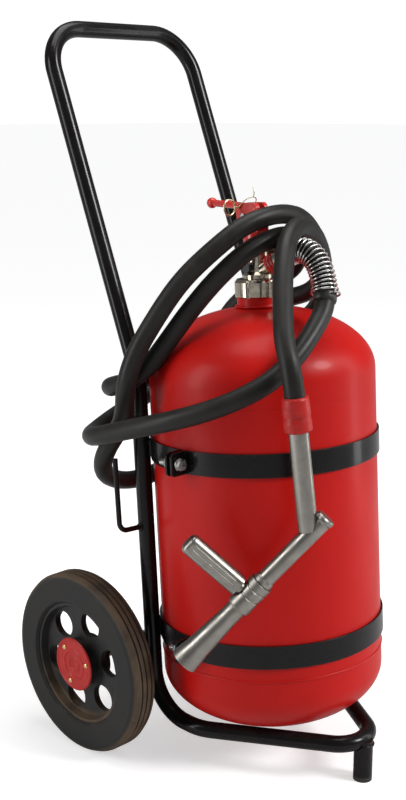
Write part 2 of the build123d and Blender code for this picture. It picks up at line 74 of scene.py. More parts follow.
level = math.cos(CAMERA_DIP)
looking = Vector((CAMERA_HEADING[0] * level, CAMERA_HEADING[1] * level, -math.sin(CAMERA_DIP)))
camera = bpy.data.objects.new("camera", bpy.data.cameras.new("camera"))
camera.location = CAMERA_PLACE
camera.rotation_euler = looking.to_track_quat("-Z", "Y").to_euler()
camera.data.lens = LENS
camera.data.clip_start = 0.05
camera.data.clip_end = 200
scene.collection.objects.link(camera)
scene.camera = camera
print("camera looks along", [round(v, 3) for v in looking])

# %% [markdown]
# The hose is one length of rubber, 25 mm thick and 3.8 m long. It leaves the
# valve to the front, arches over, and goes round the bottle and its rails three
# times before it drops to the gun.
# A smooth curve that is only drawn toward its points bends the way rubber does,
# with no straight runs and no corners, so the route is a NURBS curve and not a
# sweep of arcs. The points are where the hose is led, in millimetres.

# %% Route of the hose
HOSE_ROUTE = [
    (0, -86.9, 677.6), (0, -108.2, 689.3), (-1, -136, 683), (-3, -154, 655),
    (-12, -165, 622), (-43, -172, 596), (-81, -176, 568), (-118, -170, 543),
    (-154, -146, 522), (-181, -112, 505), (-201, -66, 489), (-208, -14, 473),
    (-209, 42, 454), (-191, 81, 443), (-154, 112, 439), (-104, 138, 442),
    (-44, 155, 452), (18, 166, 466), (76, 170, 484), (132, 150, 502), (166, 98, 524),
    (176, 42, 550), (166, -10, 588), (137, -38, 634), (113, -46, 684), (79, -55, 712),
    (38, -68, 727), (-8, -72, 730), (-50, -62, 719), (-90, -46, 689), (-127, -26, 652),
    (-156, -10, 606), (-178, 6, 560), (-184, 18, 516), (-168, 37, 468),
    (-180, 68, 418), (-160, 92, 382), (-116, 106, 360), (-64, 115, 352),
    (-10, 122, 358), (36, 128, 384), (68, 132, 426), (88, 134, 476), (98, 132, 530),
    (98, 104, 578), (105, 54, 616), (108, 6, 634), (97, -26, 657), (71, -46, 681),
    (40, -63, 699), (-4, -72, 701), (-46, -64, 687), (-84, -48, 654), (-115, -32, 616),
    (-140, -14, 574), (-152, 12, 536), (-160, 50, 512), (-150, 92, 500),
    (-108, 114, 496), (-52, 120, 492), (4, 122, 494), (58, 114, 506), (98, 94, 530),
    (104, 56, 578), (110, 10, 600), (114, -36, 614), (102, -68, 642), (76, -82, 680),
    (43, -94, 707), (3, -104, 719), (-36, -120, 701), (-68, -143, 667),
    (-95, -167, 629), (-118, -190, 594), (-126.3, -211.6, 560.5),
    (-122.4, -215.5, 511.8),
]
HOSE_RADIUS = 12.5 * MM

hose_line = bpy.data.curves.new("hose", "CURVE")
hose_line.dimensions = "3D"
hose_line.resolution_u = 14
spline = hose_line.splines.new("NURBS")
spline.points.add(len(HOSE_ROUTE) - 1)
for knot, place in zip(spline.points, HOSE_ROUTE):
    knot.co = (*(v * MM for v in place), 1)
spline.order_u = 3
spline.use_endpoint_u = True
hose = bpy.data.objects.new("hose_rubber", hose_line)
scene.collection.objects.link(hose)
print("hose led through", len(spline.points), "points")

# %% Reading the middle line of the hose
def middle_line(curve):
    """Points along a curve that has no thickness yet, as Blender draws it."""
    bpy.context.view_layer.update()
    drawn = curve.evaluated_get(bpy.context.evaluated_depsgraph_get())
    mesh = bpy.data.meshes.new_from_object(drawn)
    points = [v.co.copy() for v in mesh.vertices]
    bpy.data.meshes.remove(mesh)
    return points


hose_middle = middle_line(hose)
hose_length = sum((b - a).length for a, b in zip(hose_middle, hose_middle[1:]))
hose_line.bevel_depth = HOSE_RADIUS
hose_line.bevel_resolution = 7
hose_line.use_fill_caps = True
print("hose is %.3f m long, read at %d points" % (hose_length, len(hose_middle)))

# %% [markdown]
# Several pieces are thin rods or rings that follow a line: the spring, a weld
# bead, a seal wire. One helper skins any line with rings of a given radius. The
# side direction is carried along the line with the least turning, so that the
# skin doesn't twist.

# %% Skinning a line
SHARP_ABOVE = math.radians(60)


def turns(count):
    """The angles that part a full turn into equal steps."""
    return [2 * math.pi * k / count for k in range(count)]


def carried_sides(points, closed=False):
    """A forward and a sideways direction at each point of a line."""
    count = len(points)
    forward = []
    for i in range(count):
        before = points[i - 1] if closed or i else points[0]
        after = points[(i + 1) % count] if closed or i < count - 1 else points[-1]
        forward.append((after - before).normalized())
    side = forward[0].orthogonal().normalized()
    sides = []
    for direction in forward:
        side = (side - direction * side.dot(direction)).normalized()
        sides.append(side)
    return forward, sides



def skin(name, points, radii, closed=False, around=12):
    """A round rod along points, with its own radius at each one."""
    forward, sides = carried_sides(points, closed)
    shell = bmesh.new()
    rings = []
    for point, direction, side, radius in zip(points, forward, sides, radii):
        up = direction.cross(side)
        corners = [point + radius * (math.cos(a) * side + math.sin(a) * up) for a in turns(around)]
        rings.append([shell.verts.new(corner) for corner in corners])
    pairs = list(zip(rings, rings[1:])) + ([(rings[-1], rings[0])] if closed else [])
    for low, high in pairs:
        # A closed line may come back turned: start each ring at its nearest corner.
        shift = min(range(around), key=lambda k: (high[k].co - low[0].co).length) if closed else 0
        for k in range(around):
            a, b = k, (k + 1) % around
            shell.faces.new((low[a], low[b], high[(b + shift) % around], high[(a + shift) % around]))
    if not closed:
        shell.faces.new(list(reversed(rings[0])))
        shell.faces.new(rings[-1])
    bmesh.ops.recalc_face_normals(shell, faces=shell.faces)
    mesh = bpy.data.meshes.new(name)
    shell.to_mesh(mesh)
    shell.free()
    mesh.shade_smooth()
    mesh.set_sharp_from_angle(angle=SHARP_ABOVE)
    piece = bpy.data.objects.new(name, mesh)
    scene.collection.objects.link(piece)
    return piece


def walk(points):
    """How far along the line each point is."""
    gone = [0.0]
    for a, b in zip(points, points[1:]):
        gone.append(gone[-1] + (b - a).length)
    return gone


def place_at(points, gone, sides, forward, distance):
    """Place, forward and side at a distance along a line."""
    i = next((k for k, g in enumerate(gone) if g >= distance), len(gone) - 1)
    i = max(1, i)
    share = (distance - gone[i - 1]) / max(gone[i] - gone[i - 1], 1e-9)
    return points[i - 1].lerp(points[i], share), forward[i], sides[i]

# %% [markdown]
# A loose zinc-plated spring slips over the first hand's breadth of the hose, so
# that it can't kink where it leaves the valve. Its wire is 2.8 mm thick. The
# first turns are wound tight against the nut, the rest lie open, and the last
# turn springs away from the rubber.
# The spring is a helix round the hose's own middle line, so it bends with it.

# %% Spring guard
GUARD_START = 0.002
GUARD_LENGTH = 0.104
SPRING_WIRE = 1.35 * MM
SPRING_RADIUS = 15.3 * MM
OPEN_PITCH = 5.2 * MM
TIGHT_PITCH = 3.1 * MM
TIGHT_LENGTH = 0.010
FLARE_LENGTH = 0.014
FLARE = 3.6 * MM
STEPS_PER_TURN = 28

hose_gone = walk(hose_middle)
hose_forward, hose_sides = carried_sides(hose_middle)
spring_points = []
distance, turn = GUARD_START, 0.0
while distance < GUARD_LENGTH:
    middle, forward, side = place_at(hose_middle, hose_gone, hose_sides, hose_forward, distance)
    flare = max(0.0, (distance - GUARD_LENGTH + FLARE_LENGTH) / FLARE_LENGTH)
    reach = SPRING_RADIUS + FLARE * flare ** 2
    up = forward.cross(side)
    spring_points.append(middle + reach * (math.cos(turn) * side + math.sin(turn) * up))
    pitch = TIGHT_PITCH if distance < TIGHT_LENGTH else OPEN_PITCH
    turn += 2 * math.pi / STEPS_PER_TURN
    distance += pitch / STEPS_PER_TURN
spring = skin("spring_coil", spring_points, [SPRING_WIRE] * len(spring_points), around=10)
print("spring of %.1f turns" % (turn / (2 * math.pi)))

# %% Rubber collar at the end of the spring
COLLAR_START = GUARD_LENGTH - 0.004
COLLAR = [(0.000, 12.3), (0.001, 14.2), (0.003, 14.8), (0.011, 14.8), (0.013, 14.0), (0.014, 12.3)]
collar_points, collar_radii = [], []
for along, radius in COLLAR:
    distance = COLLAR_START + along
    middle, forward, side = place_at(hose_middle, hose_gone, hose_sides, hose_forward, distance)
    collar_points.append(middle)
    collar_radii.append(radius * MM)
collar = skin("guard_collar", collar_points, collar_radii, around=40)
print("collar %.0f mm along the hose" % (COLLAR_START / MM))

# %% [markdown]
# Bottle pieces lie in the bottle's own leaning frame: x across, v toward the
# back and s along its axis. The bottle leans back by 3.8 degrees with the rails.

# %% Places on the leaning bottle
LEAN = math.radians(3.8)
LEAN_Y, LEAN_Z = -56.0, 400.0
RAIL_X, RAIL_BACK, TUBE_RADIUS = 130.0, 101.0, 11.0


def on_bottle(x, v, s):
    """Millimetres in the bottle's frame to metres in the room."""
    y = LEAN_Y + v * math.cos(LEAN) + (s - LEAN_Z) * math.sin(LEAN)
    z = LEAN_Z - v * math.sin(LEAN) + (s - LEAN_Z) * math.cos(LEAN)
    return Vector((x * MM, y * MM, z * MM))


def rail_back(z):
    """Y of a rail's middle at a height, both in millimetres."""
    return LEAN_Y + RAIL_BACK / math.cos(LEAN) + (z - LEAN_Z) * math.tan(LEAN)


# %% [markdown]
# The frame and the bottle are arc welded. A weld is a ridge of overlapping
# ripples, a few millimetres wide, painted over with everything else.
# A rod skinned along the joint, with a radius that swells at each ripple, gives
# the same broken highlight. The lower head of the bottle meets the barrel in one
# long smooth seam; the other welds are short and rough.

# %% Weld beads
def bead(name, points, size, closed=False, rough=0.22):
    """A rippled weld along a line, painted like the metal round it."""
    swell = [size * MM * (1 + rough * math.sin(2.1 * k) + 0.5 * rough * math.sin(0.83 * k + 1))
             for k in range(len(points))]
    piece = skin(name, points, swell, closed, around=8)
    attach(piece, "cart")
    return piece


def ring_on_bottle(radius, s, count):
    """Points of a level ring round the bottle's axis."""
    return [on_bottle(radius * math.cos(a), radius * math.sin(a), s) for a in turns(count)]


SEAM_RADIUS, LOWER_SEAM = 149.2, 146.5
NECK_RADIUS, NECK_SEAM = 30.4, 609.6
PLATE_HALF, PLATE_BACK = 4.4, 10.6
PLATE_LOW, PLATE_HIGH = 99, 165
LEG_Y, LEG_RADIUS = -236.0, 12.5
LOOP_Y, LOOP_Z = -232.0, 54.5
HOOK_Z, HOOK_WELD_Z, HOOK_RADIUS = 318, 316.0, 4.2
PROUD = 0.6

red_welds = [
    bead("seam_bead", ring_on_bottle(SEAM_RADIUS, LOWER_SEAM, 240), 2.0, True, rough=0.05),
    bead("neck_weld", ring_on_bottle(NECK_RADIUS, NECK_SEAM, 90), 1.5, True, rough=0.12),
]
black_welds = []
for side in (-1, 1):
    for face in (-1, 1):
        x = side * RAIL_X + face * PLATE_HALF
        line = [Vector((x * MM, (rail_back(z) + PLATE_BACK) * MM, z * MM))
                for z in range(PLATE_LOW, PLATE_HIGH, 2)]
        black_welds.append(bead("plate_weld_%d_%d" % (side, face), line, 1.7))
leg_ring = []
for a in turns(60):
    x, y = LEG_RADIUS * math.cos(a), LEG_Y + LEG_RADIUS * math.sin(a)
    off = min(abs(y - LOOP_Y), TUBE_RADIUS - PROUD)
    leg_ring.append(Vector((x * MM, y * MM, (LOOP_Z - math.sqrt(TUBE_RADIUS ** 2 - off ** 2)) * MM)))
black_welds.append(bead("leg_weld", leg_ring, 1.9, True))
hook_x = -RAIL_X - TUBE_RADIUS - PROUD
hook_ring = [Vector((hook_x * MM, (rail_back(HOOK_Z) + HOOK_RADIUS * math.cos(a)) * MM,
                     (HOOK_WELD_Z + HOOK_RADIUS * math.sin(a)) * MM)) for a in turns(16)]
black_welds.append(bead("hook_weld", hook_ring, 1.3, True))
print(len(red_welds) + len(black_welds), "welds laid")

# %% [markdown]
# A thin twisted brass wire seals the safety pin. It hooks under the pin on one
# side, crosses over the front of the bonnet and hooks under the pin again. A
# broken wire shows that the extinguisher may have been used.
# Two strands wound round one line are twisted by construction. The short tail is
# where the two ends were spun together and snipped.

# %% Seal wire
STRAND = 0.42 * MM
TWIST_PITCH = 3.2 * MM
SEAL_LINE = [
    (-14.6, 21.4, 738.5), (-14.6, 19.2, 735.4), (-14.4, 16.4, 737.0), (-13.6, 11.5, 742.5),
    (-9.5, 6.0, 748.0), (0.0, 3.2, 750.5), (9.5, 6.0, 748.0), (13.6, 11.5, 742.5),
    (14.4, 16.4, 737.0), (14.6, 19.2, 735.4), (14.6, 21.4, 738.5),
]
TAIL_LINE = [(0.4, 3.2, 750.2), (2.0, 2.2, 754.0), (0.6, 3.4, 758.5), (2.6, 5.2, 762.5)]


def smooth_line(knots, steps=10):
    """A rounded line through the middles of a few straight runs."""
    knots = [on_bottle(*k) for k in knots]
    ends = [knots[0]] + [(a + b) / 2 for a, b in zip(knots[1:-2], knots[2:-1])] + [knots[-1]]
    line = []
    for start, corner, end in zip(ends, knots[1:-1], ends[1:]):
        for k in range(steps):
            t = k / steps
            line.append(start * (1 - t) ** 2 + corner * 2 * t * (1 - t) + end * t * t)
    return line + [ends[-1]]


def twisted(name, knots):
    """Two thin strands wound round a smooth line."""
    middle = smooth_line(knots)
    forward, sides = carried_sides(middle)
    gone = walk(middle)
    strands = []
    for half in (0, 1):
        line = []
        for point, direction, side, far in zip(middle, forward, sides, gone):
            a = 2 * math.pi * far / TWIST_PITCH + math.pi * half
            line.append(point + STRAND * (math.cos(a) * side + math.sin(a) * direction.cross(side)))
        strands.append(skin("%s_%d" % (name, half), line, [STRAND] * len(line), around=6))
    return strands


seal_wires = twisted("seal_wire", SEAL_LINE) + twisted("seal_tail", TAIL_LINE)
for strand in seal_wires:
    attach(strand, "cart")
print("seal wire of", len(seal_wires), "strands")

# %% [markdown]
# A rolled lip closes the top of the gun's inlet tube, just below the red ferrule.
# It is a full round ring, so it is skinned along a circle square to the tube.

# %% Lip of the gun's inlet
LIP_PAST_END = 18.0
LIP_RADIUS, LIP_THICK, LIP_POINTS = 12.3, 1.5, 40
tube_top = Vector(HOSE_ROUTE[-1]) * MM
tube_way = (Vector(HOSE_ROUTE[-1]) - Vector(HOSE_ROUTE[-2])).normalized()
side = tube_way.orthogonal().normalized()
up = tube_way.cross(side)
lip_middle = tube_top + tube_way * LIP_PAST_END * MM
lip_circle = [lip_middle + LIP_RADIUS * MM * (math.cos(a) * side + math.sin(a) * up)
              for a in turns(LIP_POINTS)]
inlet_lip = skin("inlet_lip", lip_circle, [LIP_THICK * MM] * LIP_POINTS, closed=True, around=10)
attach(inlet_lip, "cart")
print("lip at", [round(v, 3) for v in lip_middle])

# %% [markdown]
# The red ferrule was pressed onto the rubber, and its long upper skirt grips the
# hose. The skirt is a turned sleeve: a profile of distance up the hose and
# radius, skinned along the hose's last straight stretch.

# %% Skirt of the ferrule
SKIRT = [(-0.5, 16.6), (2.0, 17.0), (12.0, 16.6), (19.0, 16.4), (21.5, 15.8), (22.3, 14.6),
         (22.4, 12.7)]
skirt = skin("ferrule_skirt", [tube_top - tube_way * far * MM for far, radius in SKIRT],
             [radius * MM for far, radius in SKIRT], around=48)
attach(skirt, "cart")
print("skirt of %.1f mm" % (SKIRT[-1][0] - SKIRT[0][0]))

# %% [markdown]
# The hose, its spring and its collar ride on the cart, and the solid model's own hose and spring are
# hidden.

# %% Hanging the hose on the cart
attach(hose, "cart")
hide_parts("hose")
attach(spring, "cart")
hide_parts("spring_guard")
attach(collar, "cart")

# %% [markdown]
# The floor is a sweep of white studio paper. It runs far behind the cart, so
# that its edge never shows.
# One broad lamp, as even as the sun through a white sheet, lights it from the
# front right and throws one soft shadow to the back left. Two tall soft boxes
# and one overhead draw the long highlights on the round red and black metal.

# %% Floor
paper = bmesh.new()
bmesh.ops.create_grid(paper, x_segments=24, y_segments=24, size=60)
paper_mesh = bpy.data.meshes.new("floor_paper")
paper.to_mesh(paper_mesh)
paper.free()
floor = bpy.data.objects.new("floor_paper", paper_mesh)
scene.collection.objects.link(floor)
print("paper of", len(paper_mesh.polygons), "faces")

# %% Lamps
def lamp(name, kind, strength, place, aim, **settings):
    """A lamp at a place, pointing at a place."""
    light = bpy.data.lights.new(name, kind)
    light.energy = strength
    for setting, value in settings.items():
        setattr(light, setting, value)
    holder = bpy.data.objects.new(name, light)
    holder.location = place
    holder.rotation_euler = (Vector(aim) - Vector(place)).to_track_quat("-Z", "Y").to_euler()
    scene.collection.objects.link(holder)
    return holder


KNEE = (0, 0, 0.35)
BELLY = (0, 0, 0.45)
lamp("key_sun", "SUN", 2.6, (0.95, -2.0, 1.95), KNEE, angle=math.radians(18))
lamp("soft_box_left", "AREA", 22, (-1.75, 0.75, 1.0), BELLY, shape="RECTANGLE", size=0.6, size_y=1.9)
lamp("soft_box_right", "AREA", 9, (1.5, -1.2, 0.8), BELLY, shape="RECTANGLE", size=0.4, size_y=1.7)
lamp("soft_box_top", "AREA", 24, (0.15, 0.1, 2.4), (0, 0, 0.3), shape="RECTANGLE", size=1.3, size_y=1.3)
print(len(bpy.data.lights), "lamps")

# %% Studio air
studio = bpy.data.worlds.new("studio")
studio.use_nodes = True
scene.world = studio
air = studio.node_tree
air.nodes.clear()
seen = air.nodes.new("ShaderNodeBackground")
seen.inputs["Color"].default_value = (1, 1, 1, 1)
seen.inputs["Strength"].default_value = 1.05
lit = air.nodes.new("ShaderNodeBackground")
lit.inputs["Color"].default_value = (0.97, 0.98, 1, 1)
lit.inputs["Strength"].default_value = 0.14
path = air.nodes.new("ShaderNodeLightPath")
either = air.nodes.new("ShaderNodeMixShader")
world_out = air.nodes.new("ShaderNodeOutputWorld")
air.links.new(path.outputs["Is Camera Ray"], either.inputs["Fac"])
air.links.new(lit.outputs["Background"], either.inputs[1])
air.links.new(seen.outputs["Background"], either.inputs[2])
air.links.new(either.outputs["Shader"], world_out.inputs["Surface"])
scene.view_settings.view_transform = "Standard"
scene.view_settings.look = "None"

# %% [markdown]
# Finishes share a few effects: the fine grain of a surface, paint worn off
# edges, settled dust, hairline scratches, and the dull and shiny patches that
# handling leaves. Each effect is a node group, built once. A finish places the
# group and gives it its own sizes, so that grain is finer on rubber than on cast
# metal.

# %% Helpers for nodes
def put(tree, kind, wires=None, **settings):
    """A new node, with its settings made and its sockets set or joined."""
    new = tree.nodes.new("ShaderNode" + kind)
    for setting, value in settings.items():
        setattr(new, setting, value)
    for socket, value in (wires or {}).items():
        if isinstance(value, bpy.types.NodeSocket):
            tree.links.new(value, new.inputs[socket])
        else:
            new.inputs[socket].default_value = value
    return new


def calc(tree, how, a, b=0.5, c=0.5, clamp=False):
    """One arithmetic step on values."""
    return put(tree, "Math", {0: a, 1: b, 2: c}, operation=how, use_clamp=clamp).outputs[0]


def colour_between(tree, share, low, high):
    """A colour that goes from low to high with share."""
    low = low if isinstance(low, bpy.types.NodeSocket) else (*low, 1)
    high = high if isinstance(high, bpy.types.NodeSocket) else (*high, 1)
    return put(tree, "Mix", {0: share, 6: low, 7: high}, data_type="RGBA").outputs[2]


def spread(tree, value, low, high, to_low=0.0, to_high=1.0):
    """A value stretched from one range to another, held at the ends."""
    wires = {0: value, 1: low, 2: high, 3: to_low, 4: to_high}
    return put(tree, "MapRange", wires, interpolation_type="SMOOTHSTEP").outputs[0]


def new_effect(name, takes, gives):
    """An empty node group with named sockets, and its two ends."""
    group = bpy.data.node_groups.new(name, "ShaderNodeTree")
    for label, start in takes.items():
        socket = group.interface.new_socket(label, in_out="INPUT", socket_type="NodeSocketFloat")
        socket.default_value = start
    for label, kind in gives.items():
        group.interface.new_socket(label, in_out="OUTPUT", socket_type="NodeSocket" + kind)
    return group, group.nodes.new("NodeGroupInput"), group.nodes.new("NodeGroupOutput")


def use_effect(tree, name, **values):
    """A placed effect, with its own values."""
    placed = tree.nodes.new("ShaderNodeGroup")
    placed.node_tree = bpy.data.node_groups[name]
    for label, value in values.items():
        socket = placed.inputs[label.replace("_", " ")]
        if isinstance(value, bpy.types.NodeSocket):
            tree.links.new(value, socket)
        else:
            socket.default_value = value
    return placed

# %% Effect: grain
grain, grain_in, grain_out = new_effect("Grain", {"Scale": 900.0, "Pits": 0.3}, {"Height": "Float"})
where = put(grain, "TexCoord").outputs["Object"]
wires = {"Vector": where, "Scale": grain_in.outputs["Scale"], "Detail": 2.0}
coarse = put(grain, "TexNoise", wires).outputs["Fac"]
finer = calc(grain, "MULTIPLY", grain_in.outputs["Scale"], 3.3)
wires = {"Vector": where, "Scale": finer}
pits = put(grain, "TexVoronoi", wires, feature="SMOOTH_F1").outputs["Distance"]
wires = {0: grain_in.outputs["Pits"], 2: coarse, 3: pits}
both = put(grain, "Mix", wires, data_type="FLOAT").outputs[0]
grain.links.new(both, grain_out.inputs["Height"])

# %% Effect: patches
patches, patches_in, patches_out = new_effect(
    "Patches", {"Scale": 12.0, "Contrast": 0.5}, {"Mask": "Float"})
where = put(patches, "TexCoord").outputs["Object"]
wires = {"Vector": where, "Scale": patches_in.outputs["Scale"], "Detail": 5.0, "Roughness": 0.62,
         "Distortion": 0.4}
cloud = put(patches, "TexNoise", wires).outputs["Fac"]
half_width = calc(patches, "MULTIPLY_ADD", patches_in.outputs["Contrast"], -0.28, 0.34)
low_end = calc(patches, "SUBTRACT", 0.5, half_width)
high_end = calc(patches, "ADD", 0.5, half_width)
patches.links.new(spread(patches, cloud, low_end, high_end), patches_out.inputs["Mask"])

# %% Effect: soft edges and edge wear
edges, edges_in, edges_out = new_effect(
    "Edges", {"Radius": 0.0006, "Wear": 0.3, "Chip Scale": 260.0}, {"Normal": "Vector", "Worn": "Float"})
rounded = put(edges, "Bevel", {"Radius": edges_in.outputs["Radius"]}, samples=4).outputs["Normal"]
edges.links.new(rounded, edges_out.inputs["Normal"])
wide = calc(edges, "MULTIPLY", edges_in.outputs["Radius"], 2.4)
broad = put(edges, "Bevel", {"Radius": wide}, samples=4).outputs["Normal"]
facing = put(edges, "NewGeometry").outputs["Normal"]
match = put(edges, "VectorMath", {0: broad, 1: facing}, operation="DOT_PRODUCT").outputs["Value"]
bend = calc(edges, "SUBTRACT", 1.0, match)
where = put(edges, "TexCoord").outputs["Object"]
wires = {"Vector": where, "Scale": edges_in.outputs["Chip Scale"], "Detail": 4.0, "Roughness": 0.7}
chips = put(edges, "TexNoise", wires).outputs["Fac"]
reach = calc(edges, "MULTIPLY", calc(edges, "MULTIPLY", bend, chips), 14.0)
worn = spread(edges, reach, 0.45, 1.1)
strength = calc(edges, "MULTIPLY", worn, edges_in.outputs["Wear"], clamp=True)
edges.links.new(strength, edges_out.inputs["Worn"])

# %% Effect: dust
dust, dust_in, dust_out = new_effect("Dust", {"Amount": 0.3, "Scale": 60.0}, {"Mask": "Float"})
here = put(dust, "TexCoord")
tilt = put(dust, "SeparateXYZ", {0: here.outputs["Normal"]}).outputs["Z"]
upward = spread(dust, tilt, 0.1, 0.95)
wires = {"Vector": here.outputs["Object"], "Scale": dust_in.outputs["Scale"], "Detail": 6.0,
         "Roughness": 0.72}
specks = spread(dust, put(dust, "TexNoise", wires).outputs["Fac"], 0.42, 0.72)
laid = calc(dust, "MULTIPLY", upward, specks)
settled = calc(dust, "MULTIPLY", laid, dust_in.outputs["Amount"], clamp=True)
dust.links.new(settled, dust_out.inputs["Mask"])

# %% Effect: how far a point is from the axle
AXLE_Y, AXLE_Z = 0.0927, 0.125


def distance_between(tree, a, b):
    """The long side of a right triangle, from its two short ones."""
    both = calc(tree, "ADD", calc(tree, "MULTIPLY", a, a), calc(tree, "MULTIPLY", b, b))
    return calc(tree, "SQRT", both)


from_axle, axle_in, axle_out = new_effect("AxleDistance", {}, {"Distance": "Float", "Height": "Float"})
spot = put(from_axle, "SeparateXYZ", {0: put(from_axle, "TexCoord").outputs["Object"]})
back = calc(from_axle, "SUBTRACT", spot.outputs["Y"], AXLE_Y)
lift = calc(from_axle, "SUBTRACT", spot.outputs["Z"], AXLE_Z)
from_axle.links.new(distance_between(from_axle, back, lift), axle_out.inputs["Distance"])
from_axle.links.new(lift, axle_out.inputs["Height"])

# %% Effect: hairline scratches
hairs, hairs_in, hairs_out = new_effect("Hairlines", {"Scale": 40.0, "Amount": 0.5}, {"Mask": "Float"})
where = put(hairs, "TexCoord").outputs["Object"]
swirl = put(hairs, "TexNoise", {"Vector": where, "Scale": 9.0, "Detail": 1.0}).outputs["Color"]
bent = put(hairs, "VectorMath", {0: where, 1: swirl}, operation="ADD").outputs["Vector"]
stretched = put(hairs, "Mapping", {"Vector": bent, "Scale": (0.6, 7.0, 5.0)}).outputs["Vector"]
wires = {"Vector": stretched, "Scale": hairs_in.outputs["Scale"], "Detail": 3.0}
lines = put(hairs, "TexNoise", wires).outputs["Fac"]
thin = spread(hairs, lines, 0.64, 0.70)
drawn = calc(hairs, "MULTIPLY", thin, hairs_in.outputs["Amount"], clamp=True)
hairs.links.new(drawn, hairs_out.inputs["Mask"])
print("effects:", [g.name for g in bpy.data.node_groups])

# %% [markdown]
# Most finishes are then one recipe with different amounts. A base colour drifts
# towards a second one in patches, edges wear to the bare stuff below, dust
# settles on top, and roughness moves between a shiny and a dull value. Grain
# gives the last small relief.

# %% Recipe for a finish
finishes = {}
DUST_COLOUR = (0.30, 0.26, 0.21)
ROAD_DIRT = (0.13, 0.085, 0.05)


def finish(slot, tone, second, shiny, dull, grain_scale=900, grain_depth=0.00003, pits=0.3, metallic=0.0,
           coat=0.0, coat_roughness=0.08, patch_scale=14, contrast=0.4, edge=0.0006, wear=0.0,
           bare=(0.4, 0.4, 0.4), dusty=0.0, scratches=0.0, specular=0.5):
    """A material by the recipe. Returns its tree, shader, colour and mask of patches."""
    material = bpy.data.materials.new(slot)
    material.use_nodes = True
    tree = material.node_tree
    shader = tree.nodes["Principled BSDF"]
    shader.inputs["Specular IOR Level"].default_value = specular
    shader.inputs["Metallic"].default_value = metallic
    shader.inputs["Coat Roughness"].default_value = coat_roughness
    shader.inputs["Coat Weight"].default_value = coat
    drift = use_effect(tree, "Patches", Scale=patch_scale, Contrast=contrast).outputs["Mask"]
    colour = colour_between(tree, drift, tone, second)
    roughness = spread(tree, drift, 0.0, 1.0, shiny, dull)
    edge_effect = use_effect(tree, "Edges", Radius=edge, Wear=wear)
    if wear:
        worn = edge_effect.outputs["Worn"]
        colour = colour_between(tree, worn, colour, bare)
        tree.links.new(calc(tree, "MAXIMUM", worn, metallic), shader.inputs["Metallic"])
    if scratches:
        hair = use_effect(tree, "Hairlines", Amount=scratches).outputs["Mask"]
        colour = colour_between(tree, hair, colour, tuple(min(1.0, v * 1.6 + 0.02) for v in tone))
        roughness = calc(tree, "MULTIPLY_ADD", hair, 0.2, roughness)
    if dusty:
        film = use_effect(tree, "Dust", Amount=dusty).outputs["Mask"]
        colour = colour_between(tree, film, colour, DUST_COLOUR)
        roughness = calc(tree, "MULTIPLY_ADD", film, 0.4, roughness, clamp=True)
    tree.links.new(colour, shader.inputs["Base Color"])
    tree.links.new(roughness, shader.inputs["Roughness"])
    height = use_effect(tree, "Grain", Scale=grain_scale, Pits=pits).outputs["Height"]
    relief = put(tree, "Bump", {"Height": height, "Distance": grain_depth, "Strength": 1.0,
                                "Normal": edge_effect.outputs["Normal"]})
    tree.links.new(relief.outputs["Normal"], shader.inputs["Normal"])
    finishes[slot] = material
    return tree, shader, colour, drift

# %% Painted metal
finish("bottle_red", (0.50, 0.007, 0.005), (0.44, 0.006, 0.004), 0.36, 0.44,
       grain_scale=260, grain_depth=0.00005, pits=0.15, coat=0.05, coat_roughness=0.14,
       patch_scale=7, contrast=0.2, edge=0.0008, dusty=0.015, specular=0.14)
finish("frame_black", (0.006, 0.005, 0.005), (0.009, 0.008, 0.008), 0.20, 0.30,
       grain_scale=240, grain_depth=0.00002, pits=0.1, coat=0.12, coat_roughness=0.08,
       patch_scale=16, edge=0.0009, wear=0.25, bare=(0.10, 0.09, 0.08),
       dusty=0.02, scratches=0.10, specular=0.14)
finish("valve_red", (0.62, 0.022, 0.014), (0.50, 0.014, 0.010), 0.22, 0.36,
       grain_scale=520, grain_depth=0.00005, coat=0.4, patch_scale=60, edge=0.0007,
       wear=0.25, bare=(0.5, 0.42, 0.33), dusty=0.1)
print(len(finishes), "finishes so far")

# %% Bright metal
finish("zinc_fixings", (0.66, 0.67, 0.68), (0.52, 0.52, 0.50), 0.20, 0.38,
       grain_scale=1500, grain_depth=0.00002, metallic=1.0, patch_scale=120, contrast=0.7,
       edge=0.0004)
finish("spring_zinc", (0.58, 0.58, 0.57), (0.42, 0.41, 0.39), 0.16, 0.30,
       grain_scale=1800, grain_depth=0.00001, metallic=1.0, patch_scale=160, contrast=0.6,
       edge=0.0001)
finish("axle_steel", (0.50, 0.50, 0.50), (0.36, 0.33, 0.30), 0.25, 0.50,
       grain_scale=1400, metallic=1.0, patch_scale=90, contrast=0.7, dusty=0.3)
finish("tube_steel", (0.55, 0.55, 0.54), (0.42, 0.42, 0.41), 0.2, 0.4,
       grain_scale=1400, metallic=1.0, patch_scale=90)
finish("valve_nickel", (0.62, 0.56, 0.47), (0.50, 0.44, 0.35), 0.12, 0.26,
       grain_scale=1100, grain_depth=0.00002, metallic=1.0, patch_scale=70, contrast=0.5,
       edge=0.0006, wear=0.15, bare=(0.75, 0.56, 0.30))
finish("gun_nickel", (0.33, 0.315, 0.285), (0.26, 0.248, 0.225), 0.28, 0.42,
       grain_scale=850, grain_depth=0.00005, pits=0.45, metallic=1.0, patch_scale=55,
       contrast=0.4, edge=0.0007, wear=0.2, bare=(0.55, 0.53, 0.49), scratches=0.3)
finish("brass_screws", (0.80, 0.60, 0.30), (0.62, 0.44, 0.20), 0.18, 0.36,
       grain_scale=1500, metallic=1.0, patch_scale=200, edge=0.0003)
finish("pin_wire", (0.76, 0.66, 0.42), (0.58, 0.46, 0.26), 0.2, 0.4,
       grain_scale=1500, grain_depth=0.00001, metallic=1.0, patch_scale=180, edge=0.0002)
print(len(finishes), "finishes so far")

